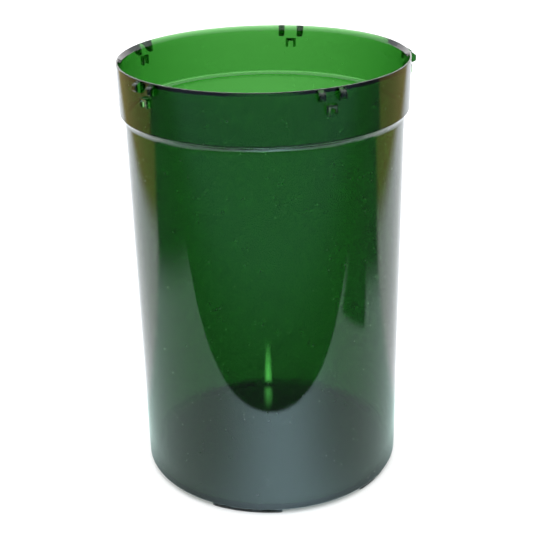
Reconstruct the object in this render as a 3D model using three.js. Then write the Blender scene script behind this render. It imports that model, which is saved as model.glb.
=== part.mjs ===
// Open catch pot of a wasp trap: a clear green pot with a wide collar, five clip points and five feet.
// Millimetres, +Z up. The origin is on the pot's axis, at the plane that the feet stand on.
import * as THREE from 'three';

// Heights
const footHeight = 2.0;
const bodyHeight = 175.6; // underside of the base to the underside of the collar's shoulder
const collarHeight = 24.4; // underside of the shoulder to the top of the rim
const basePanHeight = 6.0; // the base and the low wall around it
const rimBandHeight = 3.2; // the ring at the mouth, whose inside flares
const ledgeDepth = 23.0; // top of the rim down to the ledge inside the collar

// Radii and wall sections
const baseRadius = 62.2; // outside of the body at the base
const bodyDraft = 1.0; // what the body gains in radius from the base to the shoulder
const shoulderStep = 2.2; // what the shoulder adds in radius
const collarDraft = 0.2; // what the collar gains in radius from the shoulder to the rim band
const bodyWallThickness = 1.8;
const collarWallThickness = 2.1;
const floorThickness = 2.2;
const rimFlare = 1.4; // how much the inside widens from the foot of the rim band to its top

// Small curves and slopes
const baseCornerRadius = 1.5;
const floorCornerRadius = 1.5;
const shoulderRadius = 1.0;
const shoulderRise = 2.2; // sloped and rounded part of the shoulder, up to where the collar's side is straight
const ledgeSlopeHeight = 0.8; // slope from the ledge down to the body's inside
const ledgeSlopeWidth = 1.0;
const rimOuterRound = 0.4;

// Clip points
const clipCount = 5;
const guideOffset = 4; // degrees from the middle of a clip point to each guide
const guideWidth = 2.7;
const guideReach = 2.7; // how far a guide stands out from the collar
const guideTopDrop = 0.3; // top of the rim down to the top of a guide
const guideHeight = 5.2;
const guideTopSlope = 1.5;
const guideBottomSlope = 1.2;
const catchDrop = 6.6; // top of the rim down to the top of a catch
const catchWidth = 4.9;
const catchHeight = 4.1;
const catchBarThickness = 1.1;
const catchLegWidth = 1.1;
const catchReach = 1.7; // how far a catch stands out from the collar
const clipGap = 0.3; // between a clip's pieces and the wall behind them

// Feet
const footCount = 5;
const footArc = 32; // degrees
const footWidth = 3.2;
const footInset = 0.1; // from the start of the base's rounded corner to the foot's outside

// Roundness: the flats of the turned pieces. A multiple of 2 * clipCount puts a flat behind every clip piece.
const flats = 90;
const cornerSteps = 3;
const flareSteps = 3;
const footSteps = 8;

// Worked out from the sizes above
const shoulderZ = footHeight + bodyHeight;
const rimTopZ = shoulderZ + collarHeight;
const rimBandZ = rimTopZ - rimBandHeight;
const ledgeZ = rimTopZ - ledgeDepth;
const basePanZ = footHeight + basePanHeight;
const bodyTopRadius = baseRadius + bodyDraft;
const collarBottomRadius = bodyTopRadius + shoulderStep;
const collarTopRadius = collarBottomRadius + collarDraft;

const clearGreen = { color: 0x1d7a2b, roughness: 0.12, metalness: 0 };

function bodyRadiusAt(z) {
  return baseRadius + bodyDraft * (z - footHeight) / bodyHeight;
}

function collarRadiusAt(z) {
  return collarBottomRadius + collarDraft * (z - shoulderZ) / (rimBandZ - shoulderZ);
}

// Distance from the axis to the middle of a flat of a turned piece of this radius.
function flatDistance(radius) {
  return radius * Math.cos(Math.PI / flats);
}

function addMesh(parent, name, geometry) {
  const mesh = new THREE.Mesh(geometry, new THREE.MeshStandardMaterial(clearGreen));
  mesh.name = name;
  parent.add(mesh);
  return mesh;
}

// A piece turned about the Z axis, from a profile of [radius, z] points with the material on its left.
function turned(profile) {
  const points = profile.map(([radius, z]) => new THREE.Vector2(radius, z));
  const geometry = new THREE.LatheGeometry(points, flats);
  geometry.rotateX(Math.PI / 2);
  return geometry;
}

// Points along a quarter round, from angle a to angle b in degrees.
function roundCorner(centreRadius, centreZ, radius, a, b) {
  const points = [];
  for (let i = 0; i <= cornerSteps; i += 1) {
    const angle = THREE.MathUtils.degToRad(a + (b - a) * i / cornerSteps);
    points.push([centreRadius + radius * Math.cos(angle), centreZ + radius * Math.sin(angle)]);
  }
  return points;
}

// The closed bottom of the pot: a flat floor with a low wall, rounded at the outer and inner corner.
function basePan() {
  const outsideRadius = bodyRadiusAt(basePanZ);
  const insideRadius = outsideRadius - bodyWallThickness;
  const floorZ = footHeight + floorThickness;
  return turned([
    [0, footHeight],
    ...roundCorner(baseRadius - baseCornerRadius, footHeight + baseCornerRadius, baseCornerRadius, -90, 0),
    [outsideRadius, basePanZ],
    [insideRadius, basePanZ],
    ...roundCorner(insideRadius - floorCornerRadius, floorZ + floorCornerRadius, floorCornerRadius, 0, -90),
    [0, floorZ],
  ]);
}

// The tall tapered wall, standing on the base pan.
function potWall() {
  const bottomRadius = bodyRadiusAt(basePanZ);
  return turned([
    [bottomRadius, basePanZ],
    [bodyTopRadius, shoulderZ],
    [bodyTopRadius - bodyWallThickness, shoulderZ],
    [bottomRadius - bodyWallThickness, basePanZ],
    [bottomRadius, basePanZ],
  ]);
}

// The wide collar: a sloped shoulder outside, and inside a ledge that the upper part of a trap rests on.
function collar() {
  const insideBottom = bodyTopRadius - bodyWallThickness;
  const insideTop = collarTopRadius - collarWallThickness;
  const ledgeOutside = collarRadiusAt(ledgeZ) - collarWallThickness;
  return turned([
    [bodyTopRadius, shoulderZ],
    ...roundCorner(collarBottomRadius - shoulderRadius, shoulderZ + shoulderRise, shoulderRadius, -52, 0),
    [collarTopRadius, rimBandZ],
    [insideTop, rimBandZ],
    [ledgeOutside, ledgeZ],
    [insideBottom + ledgeSlopeWidth, ledgeZ],
    [insideBottom, ledgeZ - ledgeSlopeHeight],
    [insideBottom, shoulderZ],
    [bodyTopRadius, shoulderZ],
  ]);
}

// The ring around the mouth: straight outside, and flared inside in a curve that leads a trap top in.
function rimBand() {
  const inside = collarTopRadius - collarWallThickness;
  const flare = [];
  for (let i = flareSteps; i >= 0; i -= 1) {
    const share = i / flareSteps;
    flare.push([inside + rimFlare * share ** 2, rimBandZ + rimBandHeight * share]);
  }
  return turned([
    [collarTopRadius, rimBandZ],
    ...roundCorner(collarTopRadius - rimOuterRound, rimTopZ - rimOuterRound, rimOuterRound, 0, 90),
    ...flare,
    [collarTopRadius, rimBandZ],
  ]);
}

// Upright guide block beside a clip point, drawn from the side as [radius, z] and as thick as it is wide.
function clipGuide() {
  const topZ = rimTopZ - guideTopDrop;
  const bottomZ = topZ - guideHeight;
  const besideCollar = flatDistance(collarTopRadius) + clipGap;
  const outside = flatDistance(collarTopRadius) + guideReach;
  const side = new THREE.Shape();
  side.moveTo(besideCollar, bottomZ);
  side.lineTo(outside, bottomZ + guideBottomSlope);
  side.lineTo(outside, topZ - guideTopSlope);
  side.lineTo(besideCollar, topZ);
  side.closePath();
  const geometry = new THREE.ExtrudeGeometry(side, { depth: guideWidth, bevelEnabled: false });
  geometry.rotateX(Math.PI / 2);
  geometry.translate(0, guideWidth / 2, 0);
  return geometry;
}

// Raised catch under a clip point: an upside-down U with a bar across the top and two legs.
function clipCatch() {
  const topZ = rimTopZ - catchDrop;
  const bottomZ = topZ - catchHeight;
  const half = catchWidth / 2;
  const front = new THREE.Shape();
  front.moveTo(-half, bottomZ);
  front.lineTo(-half + catchLegWidth, bottomZ);
  front.lineTo(-half + catchLegWidth, topZ - catchBarThickness);
  front.lineTo(half - catchLegWidth, topZ - catchBarThickness);
  front.lineTo(half - catchLegWidth, bottomZ);
  front.lineTo(half, bottomZ);
  front.lineTo(half, topZ);
  front.lineTo(-half, topZ);
  front.closePath();
  const geometry = new THREE.ExtrudeGeometry(front, { depth: catchReach - clipGap, bevelEnabled: false });
  geometry.rotateX(Math.PI / 2);
  geometry.rotateZ(Math.PI / 2);
  geometry.translate(flatDistance(collarRadiusAt(topZ)) + clipGap, 0, 0);
  return geometry;
}

// One clip point at an angle round the rim: two guides with a catch centred below them.
function addClip(parent, number, angle) {
  const clip = new THREE.Group();
  clip.rotation.z = THREE.MathUtils.degToRad(angle);
  const left = addMesh(clip, `clip_${number}_left_guide`, clipGuide());
  left.rotation.z = THREE.MathUtils.degToRad(-guideOffset);
  const right = addMesh(clip, `clip_${number}_right_guide`, clipGuide());
  right.rotation.z = THREE.MathUtils.degToRad(guideOffset);
  addMesh(clip, `clip_${number}_catch`, clipCatch());
  parent.add(clip);
}

// A foot is a curved rib under the edge of the base, centred on the X axis before it is turned to its place.
function foot() {
  const outside = baseRadius - baseCornerRadius - footInset;
  const inside = outside - footWidth;
  const halfArc = THREE.MathUtils.degToRad(footArc / 2);
  const outline = new THREE.Shape();
  for (let i = 0; i <= footSteps; i += 1) {
    const angle = -halfArc + 2 * halfArc * i / footSteps;
    const point = [outside * Math.cos(angle), outside * Math.sin(angle)];
    if (i === 0) {
      outline.moveTo(...point);
    } else {
      outline.lineTo(...point);
    }
  }
  for (let i = footSteps; i >= 0; i -= 1) {
    const angle = -halfArc + 2 * halfArc * i / footSteps;
    outline.lineTo(inside * Math.cos(angle), inside * Math.sin(angle));
  }
  outline.closePath();
  return new THREE.ExtrudeGeometry(outline, { depth: footHeight, bevelEnabled: false });
}

const pot = new THREE.Group();
addMesh(pot, 'base_pan', basePan());
addMesh(pot, 'pot_wall', potWall());
addMesh(pot, 'collar', collar());
addMesh(pot, 'rim_band', rimBand());
for (let i = 0; i < clipCount; i += 1) {
  addClip(pot, i + 1, 360 * i / clipCount);
}
for (let i = 0; i < footCount; i += 1) {
  const rib = addMesh(pot, `foot_${i + 1}`, foot());
  rib.rotation.z = THREE.MathUtils.degToRad(360 * (i + 0.5) / footCount);
}

export default pot;
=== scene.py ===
from math import atan2, cos, hypot, pi, radians, sin

import bmesh
import bpy
from mathutils import Matrix, Vector


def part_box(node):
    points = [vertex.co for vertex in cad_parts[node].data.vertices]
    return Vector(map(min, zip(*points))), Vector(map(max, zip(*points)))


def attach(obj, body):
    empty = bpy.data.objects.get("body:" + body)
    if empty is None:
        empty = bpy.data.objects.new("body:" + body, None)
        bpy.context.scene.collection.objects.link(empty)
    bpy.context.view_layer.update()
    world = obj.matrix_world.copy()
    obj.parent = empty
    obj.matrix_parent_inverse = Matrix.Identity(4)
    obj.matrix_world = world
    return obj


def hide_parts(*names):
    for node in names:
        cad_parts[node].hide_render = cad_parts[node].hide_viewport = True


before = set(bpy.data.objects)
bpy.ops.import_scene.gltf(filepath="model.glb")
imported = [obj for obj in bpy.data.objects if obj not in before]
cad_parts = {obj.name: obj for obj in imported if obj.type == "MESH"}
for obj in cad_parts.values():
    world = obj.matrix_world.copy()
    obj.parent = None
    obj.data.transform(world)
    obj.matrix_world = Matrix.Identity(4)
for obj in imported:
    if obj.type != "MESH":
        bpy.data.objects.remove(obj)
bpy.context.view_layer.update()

# ---------------------------------------------------------------------------------------------------
# Pot shell. Base, tall wall, collar and rim are one injection moulding in bottle-green transparent
# plastic, 1.8 mm thick in the body and 2.1 mm in the collar. It is drawn as one turned skin: outside
# from the base up over the flared rim, then down the inside, past the ledge for a top, to the floor.

base_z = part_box("base_pan")[0].z
shoulder_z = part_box("pot_wall")[1].z
rim_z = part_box("rim_band")[1].z
base_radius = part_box("base_pan")[1].y
body_top_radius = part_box("pot_wall")[1].y
collar_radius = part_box("rim_band")[1].y

body_wall = 0.0018
collar_wall = 0.0021
floor_thickness = 0.0022
inside_base = base_radius - body_wall
inside_top = body_top_radius - body_wall
inside_collar = collar_radius - collar_wall
base_corner = 0.0015
floor_corner = 0.0015

shoulder_step = 0.0022
shoulder_rise = 0.0017
shoulder_hollow = 0.0040  # radius of the wide bend from the wall out into the shoulder
shoulder_round = 0.0010
collar_bottom_radius = body_top_radius + shoulder_step

# The mouth is flared inside: steep for the first 2 mm, then easing into the collar's upright wall.
rim_outer_round = 0.0003
rim_inner_round = 0.00015
flare_width = 0.00140
flare_depth = 0.0020
flare_round = 0.0015
easing_width = 0.0002
easing_depth = 0.0032
easing_round = 0.0060
easing_end_depth = 0.0060
easing_end_round = 0.0100

ledge_depth = 0.0230
ledge_slope = 0.0008
ledge_slope_width = 0.0010
collar_inside_draft = 0.0002
ledge_z = rim_z - ledge_depth
ledge_outside = inside_collar - collar_inside_draft
ledge_inside = inside_top + ledge_slope_width
ledge_outer_round = 0.0007
ledge_inner_round = 0.0004
ledge_foot_round = 0.0003

shell_sides = 360
hold = 0.0002  # how far from a bend the wall's shading is held flat


def bend(points, steps=6):
    """Rounds each corner (radius, z, round) of an outline by an arc that touches both its sides."""
    outline = []
    for i, (r, z, round_radius) in enumerate(points):
        here = Vector((r, z))
        if round_radius == 0:
            outline.append(here)
            continue
        before = (Vector(points[i - 1][:2]) - here).normalized()
        after = (Vector(points[i + 1][:2]) - here).normalized()
        half = before.angle(after) / 2
        reach = round_radius / (sin(half) / cos(half))
        middle = here + (before + after).normalized() * (round_radius / sin(half))
        start, end = here + before * reach, here + after * reach
        first = atan2(*(start - middle).yx)
        turn = atan2(*(end - middle).yx) - first
        turn = (turn + pi) % (2 * pi) - pi
        for k in range(steps + 1):
            angle = first + turn * k / steps
            outline.append(middle + Vector((cos(angle), sin(angle))) * round_radius)
    # A point close to each end of a long straight keeps the shading of the rounds off the flats.
    held = []
    for here, after in zip(outline, outline[1:]):
        held.append(here)
        along = after - here
        if along.length > 5 * hold:
            held.append(here + along.normalized() * hold)
            held.append(after - along.normalized() * hold)
    held.append(outline[-1])
    return held


def turned(outline, sides):
    """Turns an outline of (radius, z) that starts and ends on the axis."""
    bm = bmesh.new()
    rings = []
    for r, z in outline:
        if r == 0:
            rings.append([bm.verts.new((0, 0, z))])
            continue
        angles = [2 * pi * k / sides for k in range(sides)]
        rings.append([bm.verts.new((r * cos(angle), r * sin(angle), z)) for angle in angles])
    for low, high in zip(rings, rings[1:]):
        for k in range(sides):
            n = (k + 1) % sides
            if len(low) == 1:
                bm.faces.new((low[0], high[n], high[k]))
            elif len(high) == 1:
                bm.faces.new((low[k], low[n], high[0]))
            else:
                bm.faces.new((low[k], low[n], high[n], high[k]))
    data = bpy.data.meshes.new("turned")
    bm.to_mesh(data)
    bm.free()
    return data


class Wire:
    """A node socket that works in Python expressions: sums and products of values add Math nodes."""

    tree = None

    def __init__(self, socket):
        self.socket = socket

    @classmethod
    def node(cls, kind, settings=None, output=0, **sockets):
        """Adds a node and gives one of its outputs. A socket is named, or numbered as i0, i1 ..."""
        made = cls.tree.nodes.new(kind)
        for name, value in (settings or {}).items():
            setattr(made, name, value)
        for name, value in sockets.items():
            spot = made.inputs[int(name[1:]) if name[1:].isdigit() else name.replace("_", " ")]
            if isinstance(value, cls):
                cls.tree.links.new(value.socket, spot)
            else:
                spot.default_value = value
        return cls(made.outputs[output]) if made.outputs else None

    def math(self, operation, other=0.0, swap=False):
        first, second = (other, self) if swap else (self, other)
        return Wire.node("ShaderNodeMath", {"operation": operation}, i0=first, i1=second)

    def __add__(self, other):
        return self.math("ADD", other)

    def __sub__(self, other):
        return self.math("SUBTRACT", other)

    def __rsub__(self, other):
        return self.math("SUBTRACT", other, swap=True)

    def __mul__(self, other):
        return self.math("MULTIPLY", other)

    def __pow__(self, other):
        return self.math("POWER", other)

    __radd__ = __add__
    __rmul__ = __mul__


def start_material(name):
    """A material with an empty node tree, which the nodes made next go into."""
    material = bpy.data.materials.new(name)
    material.use_nodes = True
    material.node_tree.nodes.clear()
    Wire.tree = material.node_tree
    return material


# The plastic's colour is in its thickness: one wall lets a quarter of green light through, and about
# a twentieth of red and blue, so one wall looks bright green and two look bottle green.
plastic_tint = (0.255, 0.627, 0.205, 1.0)
plastic_strength = 2200.0
plastic_surface = (0.97, 1.0, 0.97, 1.0)
plastic_ior = 1.5


def clear_green_plastic():
    """Glossy and clear, with the mould's faint waves, handling scratches, smears and dust."""
    material = start_material("clear_green_plastic")
    place = Wire.node("ShaderNodeTexCoord", output="Object")

    def noise(scale, detail, roughness, stretch=(1.0, 1.0, 1.0)):
        spread = Wire.node("ShaderNodeMapping", i0=place, Scale=stretch)
        return Wire.node("ShaderNodeTexNoise", i0=spread, Scale=scale, Detail=detail, Roughness=roughness)

    flow = noise(38.0, 1.5, 0.4, (1.0, 1.0, 0.18))
    ripple = noise(9.0, 1.0, 0.4, (1.0, 1.0, 1.6))
    scratches = noise(420.0, 2.0, 0.6, (1.0, 1.0, 0.06)) ** 8.0
    smears = noise(22.0, 3.0, 0.6) ** 3.0
    dusty = noise(70.0, 5.0, 0.75).math("GREATER_THAN", 0.56)
    specks = Wire.node("ShaderNodeTexVoronoi", output="Distance", i0=place, Scale=330.0)
    dust = specks.math("LESS_THAN", 0.11) * dusty
    roughness = 0.02 + 0.06 * smears + 0.5 * scratches + 0.45 * dust
    height = flow + 0.25 * ripple + 0.3 * scratches + 0.008 * dust
    bump = Wire.node("ShaderNodeBump", Strength=0.10, Distance=0.002, Height=height)
    surface = Wire.node("ShaderNodeBsdfPrincipled", Base_Color=plastic_surface, IOR=plastic_ior,
                        Transmission_Weight=1.0, Roughness=roughness, Normal=bump)
    thickness = Wire.node("ShaderNodeVolumeAbsorption", Color=plastic_tint, Density=plastic_strength)
    Wire.node("ShaderNodeOutputMaterial", Surface=surface, Volume=thickness)
    return material


plastic = clear_green_plastic()


def finish_piece(name, data, *nodes):
    """Puts a mesh of the moulding in the scene, in clear green plastic, in place of its CAD nodes."""
    piece = bpy.data.objects.new(name, data)
    bpy.context.scene.collection.objects.link(piece)
    data.materials.append(plastic)
    for face in data.polygons:
        face.use_smooth = True
    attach(piece, "root")
    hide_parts(*nodes)


shell_outline = bend([
    (0.0, base_z, 0),
    (base_radius, base_z, base_corner),
    (body_top_radius, shoulder_z, shoulder_hollow),
    (collar_bottom_radius, shoulder_z + shoulder_rise, shoulder_round),
    (collar_radius, rim_z, rim_outer_round),
    (inside_collar + flare_width, rim_z, rim_inner_round),
    (inside_collar + easing_width, rim_z - flare_depth, flare_round),
    (inside_collar + easing_width / 2, rim_z - easing_depth, easing_round),
    (inside_collar, rim_z - easing_end_depth, easing_end_round),
    (ledge_outside, ledge_z, ledge_outer_round),
    (ledge_inside, ledge_z, ledge_inner_round),
    (inside_top, ledge_z - ledge_slope, ledge_foot_round),
    (inside_base, base_z + floor_thickness, floor_corner),
    (0.0, base_z + floor_thickness, 0),
])
finish_piece("pot_shell", turned(shell_outline, shell_sides), "base_pan", "pot_wall", "collar", "rim_band")

# ---------------------------------------------------------------------------------------------------
# Clip points. Five places round the rim where a trap top snaps on, in the pot's own clear plastic.
# Each has two upright guide blocks and, centred below them, a raised catch like an upside-down U,
# all moulded onto the collar.

clip_count = 5
guide_offset = radians(4)
guide_width = 0.0027
guide_top_slope = 0.0015
guide_bottom_slope = 0.0012
catch_width = 0.0049
catch_bar = 0.0011
catch_leg = 0.0011
clip_round = 0.00025
sharp_root = 0.0002  # edges nearer than this to the collar stay sharp
seam = 0.00003  # between a moulded-on detail and the wall it grows from, so that the two never cross
guide_root = collar_radius + seam


def height_and_reach(node):
    """Lowest and highest z of a CAD node, and its greatest distance from the axis."""
    low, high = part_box(node)
    points = [vertex.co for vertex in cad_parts[node].data.vertices]
    return low.z, high.z, max(hypot(point.x, point.y) for point in points)


guide_bottom, guide_top, guide_outside = height_and_reach("clip_1_left_guide")
catch_bottom, catch_top, catch_outside = height_and_reach("clip_1_catch")


def prism(outline, depth, soft_edge, softness, place):
    """Extrudes a flat outline, rounds the edges that soft_edge picks, and moves each point by place."""
    bm = bmesh.new()
    near = [bm.verts.new((x, y, 0)) for x, y in outline]
    far = [bm.verts.new((x, y, depth)) for x, y in outline]
    count = len(outline)
    bm.faces.new(near[::-1])
    bm.faces.new(far)
    for k in range(count):
        n = (k + 1) % count
        bm.faces.new((near[k], near[n], far[n], far[k]))
    edges = [edge for edge in bm.edges if soft_edge((edge.verts[0].co + edge.verts[1].co) / 2)]
    bmesh.ops.bevel(bm, geom=edges, offset=softness, segments=3, profile=0.5, affect="EDGES",
                    clamp_overlap=True)
    for vertex in bm.verts:
        vertex.co = place(vertex.co)
    bm.normal_update()
    bmesh.ops.recalc_face_normals(bm, faces=bm.faces[:])
    data = bpy.data.meshes.new("prism")
    bm.to_mesh(data)
    bm.free()
    return data


def round_axis(distance, side, z, angle):
    """A point at a distance from the axis, shifted sideways along the collar's round wall."""
    turn = angle + side / collar_radius
    return Vector((distance * cos(turn), distance * sin(turn), z))


def clip_guide(name, angle):
    outline = [
        (guide_root, guide_bottom),
        (guide_outside, guide_bottom + guide_bottom_slope),
        (guide_outside, guide_top - guide_top_slope),
        (guide_root, guide_top),
    ]
    data = prism(outline, guide_width, lambda p: p.x > guide_root + sharp_root, clip_round,
                 lambda p: round_axis(p.x, p.z - guide_width / 2, p.y, angle))
    finish_piece(name + "_moulded", data, name)


def clip_catch(name, angle):
    half = catch_width / 2
    leg_inside = half - catch_leg
    bar_bottom = catch_top - catch_bar
    outline = [
        (-half, catch_bottom), (-leg_inside, catch_bottom), (-leg_inside, bar_bottom),
        (leg_inside, bar_bottom), (leg_inside, catch_bottom), (half, catch_bottom),
        (half, catch_top), (-half, catch_top),
    ]
    depth = catch_outside - guide_root
    data = prism(outline, depth, lambda p: p.z > depth / 4, clip_round,
                 lambda p: round_axis(guide_root + p.z, p.x, p.y, angle))
    finish_piece(name + "_moulded", data, name)


for number in range(1, clip_count + 1):
    middle = 2 * pi * (number - 1) / clip_count
    clip_guide(f"clip_{number}_left_guide", middle - guide_offset)
    clip_guide(f"clip_{number}_right_guide", middle + guide_offset)
    clip_catch(f"clip_{number}_catch", middle)

# ---------------------------------------------------------------------------------------------------
# Feet. Five curved ribs of the same clear plastic, 2 mm tall, moulded under the edge of the base
# midway between the clip points. They lift the base off the table.

foot_count = 5
foot_arc = radians(32)
foot_width = 0.0032
foot_inset = 0.0001
foot_round = 0.0003
foot_steps = 24


def foot(name, angle):
    low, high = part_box(name)
    outside = base_radius - base_corner - foot_inset
    angles = [-foot_arc / 2 + foot_arc * k / foot_steps for k in range(foot_steps + 1)]
    outline = [(outside * cos(a), outside * sin(a)) for a in angles]
    outline += [((outside - foot_width) * cos(a), (outside - foot_width) * sin(a)) for a in angles[::-1]]
    depth = high.z - low.z - seam
    turn = Matrix.Rotation(angle, 3, "Z")
    data = prism(outline, depth, lambda p: p.z < depth / 4, foot_round,
                 lambda p: turn @ Vector((p.x, p.y, low.z + p.z)))
    finish_piece(name + "_moulded", data, name)


for number in range(1, foot_count + 1):
    foot(f"foot_{number}", 2 * pi * (number - 0.5) / foot_count)

# ---------------------------------------------------------------------------------------------------
# Table: plain, white and matt. All that stands round the pot, the camera included, is turned a little
# about the pot's axis, and nothing that is staged belongs to the pot.

view_turn = radians(-5.9)
table_half = 4


def staged(name, corners, material, mirrored_only=False):
    """A flat sheet that isn't part of the pot. One that is mirrored_only shows in glossy rays alone."""
    data = bpy.data.meshes.new(name)
    data.from_pydata(corners, [], [tuple(range(len(corners)))])
    sheet = bpy.data.objects.new(name, data)
    bpy.context.scene.collection.objects.link(sheet)
    data.materials.append(material)
    sheet.rotation_euler.z = view_turn
    if mirrored_only:
        sheet.visible_camera = False
        sheet.visible_diffuse = False
        sheet.visible_transmission = False
        sheet.visible_shadow = False
        sheet.visible_volume_scatter = False


def square(half, z):
    return [(-half, -half, z), (half, -half, z), (half, half, z), (-half, half, z)]


table_paint = start_material("white_table")
paint = Wire.node("ShaderNodeBsdfPrincipled", Base_Color=(0.9, 0.9, 0.9, 1), Roughness=0.7)
Wire.node("ShaderNodeOutputMaterial", Surface=paint)
staged("table", square(table_half, 0), table_paint)

# ---------------------------------------------------------------------------------------------------
# What the table shows in the pot's glossy wall: white paper round the pot, cardboard at its sides and
# a dim room in front. It is painted in light on a card just over the table that only mirror rays see.
# Here x is to the right of the pot and y behind it. An edge is a place and the width of its blur.

table_card_half = 3
table_card_z = 0.0004
room_front = (0.29, 0.33, 0.49, 1)
room_dark = (0.13, 0.15, 0.17, 1)
room_white = (1.45, 1.5, 1.55, 1)
room_edge = (-0.27, 0.12)

paper_side = (0.97, 1.25, 1.20, 1)
paper_ahead = (2.35, 3.3, 3.7, 1)
paper_lean = radians(5)  # the paper is brightest in front of the pot, and this much to the right
paper_focus = 8.0
paper_front_edge = (-0.152, 0.003)
paper_left_edge = (-0.30, 0.06)
paper_right_edge = (0.28, 0.05)
foot_shade = 0.25  # share of the paper's light that is left close to the pot
foot_shade_edge = (0.066, 0.010)
stand_left_edge = (0.215, 0.010)
stand_front_edge = (-0.140, 0.010)
stand_back_edge = (-0.040, 0.008)

cardboard_yellow = (0.66, 0.55, 0.22, 1)
cardboard_front_edge = (0.06, 0.03)
cardboard_back_edge = (1.0, 0.3)
backdrop_front_edge = (0.045, 0.02)
backdrop_left = 0.38  # to its left side, and how fast that side spreads outwards as it goes back
backdrop_left_spread = 0.11
backdrop_left_edge = (0.0, 0.06)
backdrop_right = 0.37
backdrop_right_spread = 0.25
backdrop_right_edge = (0.0, 0.07)

# Painted highlight: a narrow green strip of light on the card, which the pot's front mirrors as a green
# streak low down.
gleam_green = (1.8, 9.5, 1.8, 1)
gleam_x = -0.007
gleam_side_edge = (0.006, 0.006)
far_gleam_edges = (-0.214, 0.026), (-0.186, 0.004)
near_gleam_edges = (-0.178, 0.003), (-0.165, 0.012)
near_gleam_share = 0.6


def past(value, edge):
    """0 before an edge and 1 past it, with a soft change."""
    where, blur = edge
    return Wire.node("ShaderNodeMapRange", {"interpolation_type": "SMOOTHSTEP"}, i0=value,
                     From_Min=where - blur, From_Max=where + blur)


def between(value, first_edge, last_edge):
    return past(value, first_edge) * (1 - past(value, last_edge))


def blend(mask, base, over):
    return Wire.node("ShaderNodeMix", {"data_type": "RGBA"}, 2, i0=mask, i6=base, i7=over)


def vector(operation, *vectors, output=0):
    sockets = {f"i{k}": value for k, value in enumerate(vectors)}
    return Wire.node("ShaderNodeVectorMath", {"operation": operation}, output, **sockets)


def finish_glow(colour):
    glow = Wire.node("ShaderNodeEmission", Color=colour, Strength=1.0)
    Wire.node("ShaderNodeOutputMaterial", Surface=glow)


def mirrored_table():
    material = start_material("mirrored_table")
    place = Wire.node("ShaderNodeTexCoord", output="Object")
    x = Wire.node("ShaderNodeSeparateXYZ", output="X", i0=place)
    y = Wire.node("ShaderNodeSeparateXYZ", output="Y", i0=place)
    from_pot = vector("MULTIPLY", place, (1, 1, 0))
    distance = vector("LENGTH", from_pot, output="Value")
    brightest = (sin(paper_lean), -cos(paper_lean), 0)
    ahead = vector("DOT_PRODUCT", vector("NORMALIZE", from_pot), brightest, output="Value")
    ahead = ahead.math("MAXIMUM", 0.0) ** paper_focus

    near_paper = past(y, paper_front_edge) * between(x, paper_left_edge, paper_right_edge)
    near_paper = near_paper * (foot_shade + (1 - foot_shade) * past(distance, foot_shade_edge))
    stand = past(x, stand_left_edge) * between(y, stand_front_edge, stand_back_edge)
    past_left = past(x + (backdrop_left + backdrop_left_spread * y), backdrop_left_edge)
    past_right = past(x - (backdrop_right + backdrop_right_spread * y), backdrop_right_edge)
    backdrop = past(y, backdrop_front_edge) * past_left * (1 - past_right)
    # The painted green highlight strip, in two stretches one behind the other.
    gleam = between(y, *far_gleam_edges) + near_gleam_share * between(y, *near_gleam_edges)
    gleam = gleam * (1 - past((x - gleam_x).math("ABSOLUTE"), gleam_side_edge))

    colour = blend(past(y, room_edge), room_front, room_dark)
    colour = blend(between(y, cardboard_front_edge, cardboard_back_edge), colour, cardboard_yellow)
    colour = blend(near_paper * (1 - stand), colour, blend(ahead, paper_side, paper_ahead))
    colour = blend(backdrop, colour, room_white)
    finish_glow(blend(gleam, colour, gleam_green))
    return material


staged("mirrored_table", square(table_card_half, table_card_z), mirrored_table(), mirrored_only=True)

# ---------------------------------------------------------------------------------------------------
# What the room shows in the pot's glossy wall, as painted reflection in light: three walls that go softly
# from dark at the floor to light at the top and to white behind the pot, and a light ceiling. Only mirror
# rays see them.

wall_half = 3.0
wall_height = 2.6
wall_ends = [((-1, -1), (1, -1)), ((1, -1), (1, 1)), ((-1, 1), (-1, -1))]
wall_behind_edge = (0.2, 1.4)
wall_middle_edge = (1.1, 1.1)
ceiling_half = 1.6
ceiling_z = 0.7
room_light = (1.2, 1.3, 1.3, 1)


def mirrored_wall():
    material = start_material("mirrored_room")
    place = Wire.node("ShaderNodeTexCoord", output="Object")
    y = Wire.node("ShaderNodeSeparateXYZ", output="Y", i0=place)
    z = Wire.node("ShaderNodeSeparateXYZ", output="Z", i0=place)
    upright = blend(past(z, wall_middle_edge), room_dark, room_light)
    finish_glow(blend(past(y, wall_behind_edge), upright, room_white))
    return material


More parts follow.
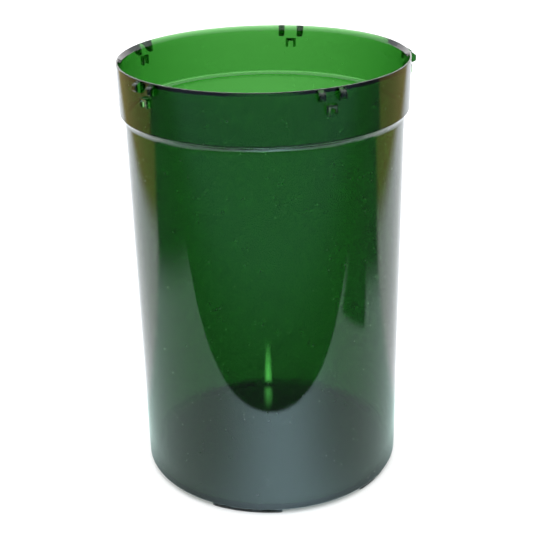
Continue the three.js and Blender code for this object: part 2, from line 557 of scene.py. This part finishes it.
wall_glow = mirrored_wall()
for number, ends in enumerate(wall_ends, 1):
    low = [(wall_half * x, wall_half * y, 0) for x, y in ends]
    high = [(x, y, wall_height) for x, y, z in reversed(low)]
    staged(f"mirrored_room_{number}", low + high, wall_glow, mirrored_only=True)

ceiling_glow = start_material("mirrored_ceiling")
finish_glow(room_light)
staged("mirrored_ceiling", square(ceiling_half, ceiling_z), ceiling_glow, mirrored_only=True)

# ---------------------------------------------------------------------------------------------------
# Light: an even white sky, and a small lamp by the camera that only sets points of light on the
# moulding's rounded edges.

sky_strength = 1.9
spark_place = Vector((0.02, -0.52, 0.38))
spark_width = 0.014
spark_energy = 1.2

spark_data = bpy.data.lights.new("spark_lamp", "AREA")
spark_data.shape = "DISK"
spark_data.size = spark_width
spark_data.energy = spark_energy
spark = bpy.data.objects.new("spark_lamp", spark_data)
bpy.context.scene.collection.objects.link(spark)
spark.visible_camera = False
spark.visible_diffuse = False
spark.visible_transmission = False
spark.visible_volume_scatter = False
facing_pot = spark_place.to_track_quat("Z", "Y").to_matrix().to_4x4()
turned_to_view = Matrix.Rotation(view_turn, 4, "Z")
spark.matrix_world = turned_to_view @ Matrix.Translation(spark_place) @ facing_pot

world = bpy.data.worlds.new("white_room")
bpy.context.scene.world = world
world.use_nodes = True
world.node_tree.nodes["Background"].inputs["Color"].default_value = (1, 1, 1, 1)
world.node_tree.nodes["Background"].inputs["Strength"].default_value = sky_strength

# ---------------------------------------------------------------------------------------------------
# Camera: in front of the pot and above it, looking 23.5 degrees down, held a little off level.

camera_place = (0, -0.4999, 0.3169)
look_down = radians(23.53)
look_left = radians(0.093)
off_level = radians(-1.32)

camera_data = bpy.data.cameras.new("camera")
camera_data.lens = 76.45
camera_data.sensor_width = 36.0
camera = bpy.data.objects.new("camera", camera_data)
bpy.context.scene.collection.objects.link(camera)
aim = Matrix.Rotation(look_left, 4, "Z") @ Matrix.Rotation(radians(90) - look_down, 4, "X")
camera.matrix_world = (turned_to_view @ Matrix.Translation(camera_place) @ aim
                       @ Matrix.Rotation(off_level, 4, "Z"))
bpy.context.scene.camera = camera
bpy.context.scene.view_settings.view_transform = "Standard"
